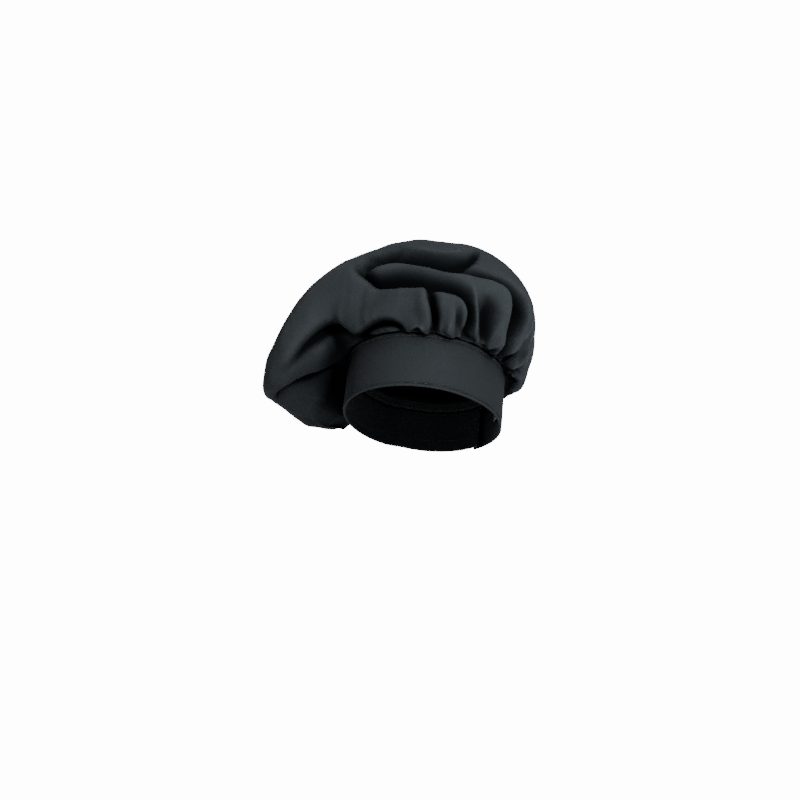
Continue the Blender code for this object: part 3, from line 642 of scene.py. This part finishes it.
mat_thread = thread_mat("sewing_thread", (0.020, 0.022, 0.026), (0.050, 0.055, 0.060))
mat_core = plain_cloth("nonwoven", (0.15, 0.15, 0.16), (0.24, 0.24, 0.25), 1400.0, 0.92)
mat_hook = plain_cloth("hook_nylon", (0.012, 0.012, 0.014), (0.035, 0.036, 0.040), 1800.0, 0.42)
mat_loop = plain_cloth("loop_pile", (0.014, 0.015, 0.017), (0.050, 0.052, 0.056), 1500.0, 0.95, sheen=0.25)
mat_label = satin_mat("label_satin")

# ------------------------------------------------------------------ crown
angles, pts, hidden = build_crown()
nu, nv = pts.shape[:2]
run = np.concatenate([np.zeros((nu, 1)), np.cumsum(np.linalg.norm(np.diff(pts, axis=1), axis=2), axis=1)], axis=1)
total = run[:, -1:]
rad = (1 - run / total) * 0.290 + 0.004
th = np.radians(angles)[:, None]
uv = np.stack([rad * np.cos(th), rad * np.sin(th)], -1)
crown = mesh_grid("crown_cloth", pts, True, (0, 0, 201.0), uv)
# the fold value is painted shade: the crown's material darkens the cloth by it
shade = crown.data.attributes.new("fold", "FLOAT", "POINT")
shade.data.foreach_set("value", np.concatenate([hidden.ravel(), [0.0]]).astype(np.float32))
mod = crown.modifiers.new("thickness", "SOLIDIFY")
mod.thickness = 0.0007
mod.offset = 0.0
crown.data.materials.append(mat_crown)
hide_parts("crown")
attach(crown, "hat")


# ------------------------------------------------------------------ strips, threads and tapes
def ring_mesh(name, rings, uv=None, mat=None, caps=True):
    """Closed rings of points, rings[u][k] in mm, joined in order and capped at both ends."""
    nu, nk = rings.shape[:2]
    idx = np.arange(nu * nk).reshape(nu, nk)
    nxt = np.roll(idx, -1, 1)
    faces = np.stack([idx[:-1], idx[1:], nxt[1:], nxt[:-1]], -1).reshape(-1, 4).tolist()
    if caps:
        faces.append([int(i) for i in idx[0]])
        faces.append([int(i) for i in idx[-1][::-1]])
    me = bpy.data.meshes.new(name)
    me.from_pydata((rings.reshape(-1, 3) / 1000.0).tolist(), [], faces)
    me.update()
    if uv is not None:
        lay = me.uv_layers.new(name="cloth")
        li = np.zeros(len(me.loops), int)
        me.loops.foreach_get("vertex_index", li)
        lay.data.foreach_set("uv", uv.reshape(-1, 2)[li].astype(np.float32).ravel())
    bm = bmesh.new()
    bm.from_mesh(me)
    bmesh.ops.recalc_face_normals(bm, faces=bm.faces)
    bm.to_mesh(me)
    bm.free()
    for f in me.polygons:
        f.use_smooth = True
    ob = bpy.data.objects.new(name, me)
    bpy.context.scene.collection.objects.link(ob)
    if mat is not None:
        me.materials.append(mat)
    return ob


def arc_length(points):
    return np.concatenate([[0.0], np.cumsum(np.linalg.norm(np.diff(points, axis=0), axis=1))])


def strip_uv(rings):
    """Metres along and round a strip."""
    along = arc_length(rings[:, 0])
    around = np.concatenate([[0.0], np.cumsum(np.linalg.norm(np.diff(rings[len(rings) // 2], axis=0), axis=1))])
    return np.stack(np.broadcast_arrays(along[:, None], around[None, :]), -1) / 1000.0


def stitches(name, line, out, mat, pitch=3.0, radius=0.26, slant=0.0, cyclic=False):
    """A row of separate stitches along a line of points in mm, with the outward direction at each."""
    line, out = np.asarray(line, float), np.asarray(out, float)
    if cyclic:
        line, out = np.concatenate([line, line[:1]]), np.concatenate([out, out[:1]])
    dist = arc_length(line)
    count = max(1, int(round(dist[-1] / pitch)))
    pitch = dist[-1] / count
    rng = np.random.default_rng(len(name) * 7 + count)
    verts, faces = [], []
    rows = np.linspace(0.05, 0.95, 7)
    lift = 0.20 * np.sin(np.pi * rows)**0.6 - 0.16
    girth = radius * np.array([0.55, 0.9, 1.0, 1.03, 1.0, 0.9, 0.55])
    turn = np.linspace(0, 2 * math.pi, 6, endpoint=False)
    for k in range(count):
        d = (k + rows + rng.uniform(-0.02, 0.02)) * pitch
        q = np.stack([np.interp(d, dist, line[:, i]) for i in range(3)], 1)
        n = np.stack([np.interp(d, dist, out[:, i]) for i in range(3)], 1)
        n /= np.linalg.norm(n, axis=1, keepdims=True)
        t = np.gradient(q, axis=0)
        t /= np.linalg.norm(t, axis=1, keepdims=True) + 1e-9
        s = np.cross(t, n)
        q = q + n * lift[:, None] + s * ((rows - 0.5) * slant + rng.uniform(-0.05, 0.05))[:, None]
        ring = q[:, None] + girth[:, None, None] * (n[:, None] * np.cos(turn)[None, :, None] * 0.8 + s[:, None] * np.sin(turn)[None, :, None])
        base = len(verts)
        verts.extend(ring.reshape(-1, 3).tolist())
        for r in range(6):
            for j in range(6):
                faces.append((base + r * 6 + j, base + r * 6 + (j + 1) % 6, base + (r + 1) * 6 + (j + 1) % 6, base + (r + 1) * 6 + j))
        faces.append(tuple(base + j for j in range(5, -1, -1)))
        faces.append(tuple(base + 36 + j for j in range(6)))
    me = bpy.data.meshes.new(name)
    me.from_pydata((np.array(verts) / 1000.0).tolist(), [], faces)
    for f in me.polygons:
        f.use_smooth = True
    ob = bpy.data.objects.new(name, me)
    bpy.context.scene.collection.objects.link(ob)
    me.materials.append(mat)
    return ob


def on_band(angles, z, out):
    """Points on the band's face and the outward direction there."""
    angles = np.asarray(angles, float)
    p = band_at(angles, out, z)
    n = band_frame(angles)[1]
    return p, np.concatenate([n, np.zeros((len(n), 1))], 1)


def box_row(a0, a1, low, high, corner=2.0, step=0.6):
    """Angle and height round a rectangle with rounded corners on the band."""
    deg = corner / 1.55
    rows = []
    for a in np.arange(a0 + deg, a1 - deg, step):
        rows.append((a, low))
    for t in np.linspace(-math.pi / 2, 0, 6):
        rows.append((a1 - deg + deg * math.cos(t), low + corner + corner * math.sin(t)))
    for z in np.arange(low + corner + 1, high - corner, 1.0):
        rows.append((a1, z))
    for t in np.linspace(0, math.pi / 2, 6):
        rows.append((a1 - deg + deg * math.cos(t), high - corner + corner * math.sin(t)))
    for a in np.arange(a1 - deg - step, a0 + deg, -step):
        rows.append((a, high))
    for t in np.linspace(math.pi / 2, math.pi, 6):
        rows.append((a0 + deg + deg * math.cos(t), high - corner + corner * math.sin(t)))
    for z in np.arange(high - corner - 1, low + corner, -1.0):
        rows.append((a0, z))
    for t in np.linspace(math.pi, 1.5 * math.pi, 6):
        rows.append((a0 + deg + deg * math.cos(t), low + corner + corner * math.sin(t)))
    return np.array(rows)


def box_stitches(name, a0, a1, low, high, out, mat, corner=2.0, facing=1, pitch=2.8):
    rows = box_row(a0, a1, low, high, corner)
    p, n = on_band(rows[:, 0], rows[:, 1], out)
    return stitches(name, p, n * facing, mat, pitch, cyclic=True)


def claim(ob, body, *nodes):
    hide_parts(*nodes)
    if body:
        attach(ob, body)
    return ob


# band: one strip folded at its lower edge, with a soft unevenness and sunk stitch rows
def seam_dent(z, row, width=1.3):
    return np.exp(-((z - row) / width)**2)


ba = np.linspace(TAB_ROOT, UNDER_END - 360.0, 860)
face_z = np.concatenate([[60.7, 60.5], np.linspace(60.0, 54.0, 13), np.linspace(52.5, 8.0, 24), np.linspace(7.0, 1.3, 12)])
face_i = np.where(face_z > 59.4, (face_z - 59.4)**2 * 0.5, 0.0)
t = np.linspace(0, math.pi, 9)[1:-1]
sec = [(i, z, 1) for i, z in zip(face_i, face_z)]
sec += [(1.3 - 1.3 * math.cos(x), 1.3 - 1.3 * math.sin(x), 1 - k / 7) for k, x in enumerate(t)]
sec += [(2.6, z, 0) for z in np.linspace(1.3, 60.0, 14)] + [(2.3, 60.3, 0)]
sec += [(2.0, z, 0) for z in np.linspace(60.0, 1.9, 8)]
sec += [(1.3 + 0.7 * math.cos(x), 1.9 - 0.7 * math.sin(x), 0) for x in t]
sec += [(0.65, z, 0) for z in np.linspace(1.9, 59.6, 8)] + [(0.75, 60.3, 0)]
sec = np.array(sec)
bd = dip(ba) * (ba < 0)
centre, outn = band_frame(ba)
arc_mm = arc_length(np.concatenate([centre, np.zeros((len(ba), 1))], 1))
grid = np.stack(np.broadcast_arrays(arc_mm[:, None], sec[None, :, 1], 0.0 * sec[None, :, 1]), -1)
wave = 0.55 * noise3(grid, 70, 61) + 0.30 * noise3(grid, 23, 62) + 0.12 * noise3(grid, 8, 63)
rows_z = sec[None, :, 1]
calm = 1 - seam_dent(rows_z, 3.6, 3.0) - seam_dent(rows_z, 56.8, 3.0)
pucker = 0.10 * np.cos(2 * math.pi * arc_mm[:, None] / 3.0) * (seam_dent(rows_z - 1.6, 3.6, 1.6) + seam_dent(rows_z + 1.6, 56.8, 1.6))
pucker = pucker + 0.16 * noise3(grid * np.array([1.0, 0.18, 1.0]), 5.5, 64) * (seam_dent(rows_z, 56.8, 7.0) + seam_dent(rows_z, 3.6, 4.0))
face = (np.clip(wave * calm, -0.12, 0.8) - 0.26 * (seam_dent(rows_z, 3.6) + seam_dent(rows_z, 56.8)) + pucker) * sec[None, :, 2]
out_by = -(sec[None, :, 0] + bd[:, None]) + face
rings = np.zeros((len(ba), len(sec), 3))
rings[..., :2] = centre[:, None] + outn[:, None] * out_by[..., None]
sway = 0.5 * noise3(np.stack([arc_mm, 0 * arc_mm, 0 * arc_mm], -1), 60, 65)
rings[..., 2] = sec[None, :, 1] + (sway[:, None] * (1 - rows_z / 60.0)).clip(-0.0, 0.6)
band = ring_mesh("band_cloth", rings, strip_uv(rings), mat_band)
claim(band, "hat", "band")

# binding tape over the gathered edge inside
ga = np.linspace(0, 360, 361)
sec = np.array([(0, z) for z in np.linspace(47, 57.5, 7)] + [(0.4, 57.8)] + [(0.8, z) for z in np.linspace(57.5, 47, 7)] + [(0.4, 46.7)])
bi_c, bi_n = band_frame(ga)
ripple = 0.22 * np.sin(np.radians(ga) * 96) * np.linspace(0.2, 1, 1) + 0.2 * noise3(np.stack([ga, 0 * ga, 0 * ga], -1), 3, 71)
inw = 4.4 + sec[None, :, 0] + dip(ga)[:, None] + ripple[:, None] * 0.8
rings = np.zeros((len(ga), len(sec), 3))
rings[..., :2] = bi_c[:, None] - bi_n[:, None] * inw[..., None]
rings[..., 2] = sec[None, :, 1] + 0.25 * np.sin(np.radians(ga) * 41)[:, None]
rings[-1] = rings[0]
binding = ring_mesh("binding_tape", rings, strip_uv(rings), mat_tape, caps=False)
claim(binding, "hat", "gather_binding")
p, n = on_band(ga[:-1], 49.2, -(5.35 + dip(ga[:-1])))
claim(stitches("binding_thread", p, -n, mat_thread, 3.2, cyclic=True), "hat", "binding_stitch")

# stitch rows on the band
ra = np.linspace(TAB_ROOT - 2.0, UNDER_END - 357.0, 500)
for row_name, z, node_name in (("band_lower_thread", 3.6, "band_lower_stitch"), ("band_upper_thread", 56.8, "band_upper_stitch")):
    p, n = on_band(ra, z, 0.0 - dip(ra) * (ra < 0))
    claim(stitches(row_name, p, n, mat_thread, 3.0), "hat", node_name)
claim(box_stitches("tab_root_thread", TAB_ROOT - 8.0, TAB_ROOT - 1.8, 9.0, 51.0, 0.12, mat_thread), "hat", "tab_root_stitch")
claim(box_stitches("loop_tape_thread", LOOP_FROM + 1.5, LOOP_TO - 1.5, TAPE_LOW + 2.0, TAPE_HIGH - 4.5,
                   -(CLOSURE_DIP + BAND_DEPTH + 0.05), mat_thread, facing=-1), "hat", "loop_tape_stitch")

# closure tab: doubled cloth turned in all round its edge
mm_deg = 1.53
span = (TAB_END - TAB_ROOT - 0.1) * mm_deg
sx = np.concatenate([np.linspace(0, span - 9.5, 96), span - 9.5 + 9.5 * np.sin(np.linspace(0.03, 0.5, 24) * math.pi)])
nk = 96
half_t = BAND_DEPTH / 2
rings = np.zeros((len(sx), nk, 3))
for i, x in enumerate(sx):
    left = span - x
    cut = 0.0 if left >= TAB_CORNER else TAB_CORNER - math.sqrt(max(0.0, TAB_CORNER**2 - (TAB_CORNER - left)**2))
    low, high = TAB_LOW + 0.92 * cut, TAB_HIGH - 0.92 * cut
    thick = half_t if left >= half_t else math.sqrt(max(0.02, half_t**2 - (half_t - left)**2))
    side_n = nk // 2 - 6
    zz = np.linspace(low + thick, high - thick, side_n)
    arc = np.linspace(0, math.pi, 8)[1:-1]
    zs = np.concatenate([zz, high - thick + thick * np.sin(arc), zz[::-1], low + thick - thick * np.sin(arc)])
    os_ = np.concatenate([0 * zz + thick, thick * np.cos(arc), 0 * zz - thick, -thick * np.cos(arc)])
    edge = np.minimum(np.minimum(zs - low, high - zs), left)
    dent = 0.22 * np.exp(-((edge - 3.0) / 1.2)**2)
    puff = 0.10 * np.exp(-((edge - 1.2) / 1.0)**2)
    co = np.stack([0 * zs + x, zs, os_ * 4], -1)
    wob = 0.14 * noise3(co, 16, 81) + 0.06 * noise3(co, 5, 82)
    scale = (thick - dent + puff + wob * min(1.0, left / 4.0)) / max(thick, 0.3)
    o = -half_t + os_ * scale
    q = band_at(TAB_ROOT + 0.1 + x / mm_deg + 0 * zs, o, zs)
    rings[i] = q
tab_uv = np.stack(np.broadcast_arrays(sx[:, None], np.linspace(0, 101, nk)[None, :]), -1) / 1000.0
tab = ring_mesh("tab_cloth", rings, tab_uv, mat_band)
mod = tab.modifiers.new("ply", "SOLIDIFY")
mod.thickness = 0.00045
mod.offset = -1.0
claim(tab, None, "closure_tab")
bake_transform(tab)
edge_row = box_stitches("tab_edge_thread", TAB_ROOT + 2.2, TAB_END - 2.0, TAB_LOW + 3.0, TAB_HIGH - 3.0, 0.0, mat_thread, corner=6.0)
claim(edge_row, None, "tab_edge_stitch")
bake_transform(edge_row)
claim(box_stitches("hook_tape_thread", HOOK_FROM + 1.5, HOOK_TO - 1.5, TAPE_LOW + 2.0, TAPE_HIGH - 2.0, 0.12, mat_thread), "tab", "hook_tape_stitch")

# tab interlining, inside the doubled cloth
ta = np.linspace(TAB_ROOT + 1.0, TAB_END - 4.0, 160)
# thin and on the midline, so it stays clear of both plies where the tab bends
sec_o = np.array([-1.12, -1.12, -1.48, -1.48])
rings = np.stack([band_at(a + 0 * sec_o, sec_o, np.array([8.5, 51.5, 51.5, 8.5]) if a < TAB_END - 7 else np.array([12.0, 48.0, 48.0, 12.0])) for a in ta])
core = ring_mesh("tab_core", rings, strip_uv(rings), mat_core)
claim(core, None, "tab_interlining")
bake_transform(core)


# hook and loop tapes
def tape(name, a0, a1, face_in, back_in, mat, count):
    an = np.linspace(a0, a1, count)
    zz = np.linspace(TAPE_LOW, TAPE_HIGH, 26)
    ring_z = np.concatenate([zz, zz[::-1]])
    ring_i = np.concatenate([0 * zz + face_in, 0 * zz + back_in])
    r = np.stack([band_at(a + 0 * ring_z, -ring_i, ring_z) for a in an])
    return r


def bristles(a0, a1, root_in, tip_in, pitch, radius, seed, loop):
    """Little hooks or loops standing on a tape, as vertices in mm and faces."""
    rng = np.random.default_rng(seed)
    verts, faces = [], []
    sides = 4 if not loop else 3
    step_a = pitch / 1.53
    row = 0
    for z in np.arange(TAPE_LOW + 1.2, TAPE_HIGH - 1.2, pitch):
        row += 1
        for a in np.arange(a0 + 1.0 + (row % 2) * step_a / 2, a1 - 1.0, step_a):
            za, aa = z + rng.uniform(-0.15, 0.15) * (2.5 if loop else 1), a + rng.uniform(-0.1, 0.1) * (3 if loop else 1)
            rise = tip_in - root_in
            way = 1 if row % 2 else -1
            if loop:
                spread, turn = rng.uniform(0.5, 1.1), rng.uniform(0, 2 * math.pi)
                th = np.linspace(0, math.pi, 6)
                along, up_ = spread * np.cos(th) * 0.6, np.sin(th) * rise * rng.uniform(0.6, 1.0)
                dz, da = along * math.cos(turn), along * math.sin(turn) / 1.53
            else:
                th = np.linspace(0, 1, 6)
                up_ = rise * np.array([0.0, 0.55, 0.85, 1.0, 0.92, 0.68])
                dz, da = 0.35 * np.array([0, 0, 0.15, 0.5, 0.9, 1.0]) * way, 0 * th
            q = band_at(aa + da, -(root_in + up_), za + dz)
            tg = np.gradient(q, axis=0)
            tg /= np.linalg.norm(tg, axis=1, keepdims=True) + 1e-9
            ref = np.array([0.3, 0.2, 0.93]) if loop else np.array([-math.sin(math.radians(aa)), math.cos(math.radians(aa)), 0.1])
            s1 = np.cross(tg, ref)
            s1 /= np.linalg.norm(s1, axis=1, keepdims=True) + 1e-9
            s2 = np.cross(tg, s1)
            ph = np.linspace(0, 2 * math.pi, sides, endpoint=False)
            ring = q[:, None] + radius * (s1[:, None] * np.cos(ph)[None, :, None] + s2[:, None] * np.sin(ph)[None, :, None])
            base = len(verts)
            verts.extend(ring.reshape(-1, 3).tolist())
            for r in range(len(q) - 1):
                for j in range(sides):
                    faces.append((base + r * sides + j, base + r * sides + (j + 1) % sides, base + (r + 1) * sides + (j + 1) % sides, base + (r + 1) * sides + j))
            faces.append(tuple(base + (len(q) - 1) * sides + j for j in range(sides)))
            faces.append(tuple(base + j for j in range(sides - 1, -1, -1)))
    return verts, faces


def loose_mesh(name, verts, faces, mat):
    me = bpy.data.meshes.new(name)
    me.from_pydata((np.array(verts) / 1000.0).tolist(), [], faces)
    for f in me.polygons:
        f.use_smooth = True
    me.materials.append(mat)
    ob = bpy.data.objects.new(name, me)
    bpy.context.scene.collection.objects.link(ob)
    return ob


r = tape("hook", HOOK_FROM, HOOK_TO, BAND_DEPTH + GAP, BAND_DEPTH + GAP + 0.38, mat_hook, 40)
hook = ring_mesh("hook_tape_cloth", r, strip_uv(r), mat_hook)
claim(hook, "tab", "hook_tape")
hooks = loose_mesh("hook_tape_hooks", *bristles(HOOK_FROM, HOOK_TO, BAND_DEPTH + GAP + 0.34, BAND_DEPTH + GAP + TAPE - 0.02, 1.5, 0.085, 5, False), mat_hook)
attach(hooks, "tab")
r = tape("loop", LOOP_FROM, LOOP_TO, CLOSURE_DIP - GAP, CLOSURE_DIP - GAP - 0.40, mat_loop, 50)
loop = ring_mesh("loop_tape_cloth", r, strip_uv(r), mat_loop)
claim(loop, "hat", "loop_tape")
loops = loose_mesh("loop_tape_pile", *bristles(LOOP_FROM, LOOP_TO, CLOSURE_DIP - GAP - 0.36, CLOSURE_DIP - GAP - TAPE + 0.02, 1.15, 0.06, 6, True), mat_loop)
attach(loops, "hat")

# blank care label: a folded satin tape caught under the binding
la = np.linspace(13.0, 31.0, 40)
lz = np.linspace(49.3, 20.8, 34)
bottom = np.linspace(0, math.pi, 7)[1:-1]
ring_z = np.concatenate([lz, 20.8 - 0.8 * np.sin(bottom), lz[::-1]])
ring_i = np.concatenate([0 * lz + 3.0, 3.35 - 0.35 * np.cos(bottom), 0 * lz + 3.7])
hang = np.clip((49.3 - ring_z) / 29.0, 0, 1)
rings = []
for a in la:
    across = (a - 22.0) / 9.0
    curl = hang**1.6 * (0.9 + 0.8 * across**2 + 0.25 * math.sin(across * 4.0 + 1.0))
    rings.append(band_at(a + 0.35 * hang, -(ring_i + curl), ring_z + 0.25 * across * hang))
rings = np.stack(rings)
label = ring_mesh("care_label_cloth", rings, strip_uv(rings), mat_label)
claim(label, "hat", "care_label")

# interlining of the band, unseen between its plies
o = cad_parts["band_interlining"]
o.data.materials.clear()
o.data.materials.append(mat_core)

# ------------------------------------------------------------------ stage, camera, light
scene = bpy.context.scene
bpy.ops.mesh.primitive_plane_add(size=14, location=(0, 0, -1.30))
floor = bpy.context.object
floor.name = "floor"
fm, fnt, fb = new_mat("floor")
fb.inputs["Base Color"].default_value = (0.62, 0.62, 0.63, 1)
fb.inputs["Roughness"].default_value = 0.7
paper = node(fnt, "ShaderNodeEmission")
paper.inputs["Color"].default_value = (0.93, 0.94, 0.95, 1)
paper.inputs["Strength"].default_value = 6.0
floor_path = node(fnt, "ShaderNodeLightPath")
floor_mix = node(fnt, "ShaderNodeMixShader")
fnt.links.new(floor_path.outputs["Is Camera Ray"], floor_mix.inputs[0])
fnt.links.new(fb.outputs[0], floor_mix.inputs[1])
fnt.links.new(paper.outputs[0], floor_mix.inputs[2])
fnt.links.new(floor_mix.outputs[0], fnt.nodes["Material Output"].inputs["Surface"])
floor.data.materials.append(fm)

YAW, PITCH, ROLL = math.radians(14), math.radians(-21.3), math.radians(-5.3)
back = Vector((math.sin(YAW) * math.cos(PITCH), -math.cos(YAW) * math.cos(PITCH), math.sin(PITCH)))
right = Vector((math.cos(YAW), math.sin(YAW), 0))
up = back.cross(right)
c, s = math.cos(ROLL), math.sin(ROLL)
cam_x = right * c - up * s
cam_y = right * s + up * c
cam_data = bpy.data.cameras.new("camera")
cam = bpy.data.objects.new("camera", cam_data)
scene.collection.objects.link(cam)
rot = Matrix((cam_x, cam_y, back)).transposed().to_4x4()
loc = back * 2.0 - cam_x * 0.0241 + cam_y * 0.0231
cam.matrix_world = Matrix.Translation(loc) @ rot
cam_data.sensor_width = 36.0
cam_data.lens = 0.921 * 2000 / 800 * 36
scene.camera = cam


def area_light(name, at, target, size, power, colour=(1, 1, 1)):
    li = bpy.data.lights.new(name, "AREA")
    li.size = size
    li.energy = power
    li.color = colour
    ob = bpy.data.objects.new(name, li)
    scene.collection.objects.link(ob)
    d = Vector(target) - Vector(at)
    ob.location = at
    ob.rotation_euler = d.to_track_quat("-Z", "Y").to_euler()
    return ob


def around(turn, rise, away=2.3):
    t, r = math.radians(turn), math.radians(rise)
    return (away * math.sin(t) * math.cos(r), -away * math.cos(t) * math.cos(r), away * math.sin(r) + 0.1)


area_light("key", around(36, 4), (0, 0, 0.10), 0.36, 68)
area_light("left", around(-42, 6), (0, 0, 0.10), 0.36, 15)
area_light("right", around(98, 4), (0, 0, 0.10), 0.45, 3)
# the back light stands straight across the hat from the camera, so it rims nothing the camera sees
area_light("back", Vector((0, 0, 0.10)) - back * 2.7, (0, 0.05, 0.10), 0.5, 115)
area_light("back_low", around(-140, -22, 2.7), (0, 0.05, 0.08), 0.5, 9)

world = bpy.data.worlds.new("world")
scene.world = world
world.use_nodes = True
wn = world.node_tree
bg = wn.nodes["Background"]
bg.inputs["Color"].default_value = (0.90, 0.95, 1.0, 1)
bg.inputs["Strength"].default_value = 0.018
seen = wn.nodes.new("ShaderNodeBackground")
seen.inputs["Color"].default_value = (1, 1, 1, 1)
seen.inputs["Strength"].default_value = 14.0
lp = wn.nodes.new("ShaderNodeLightPath")
mx = wn.nodes.new("ShaderNodeMixShader")
wn.links.new(lp.outputs["Is Camera Ray"], mx.inputs[0])
wn.links.new(bg.outputs[0], mx.inputs[1])
wn.links.new(seen.outputs[0], mx.inputs[2])
wn.links.new(mx.outputs[0], wn.nodes["World Output"].inputs["Surface"])
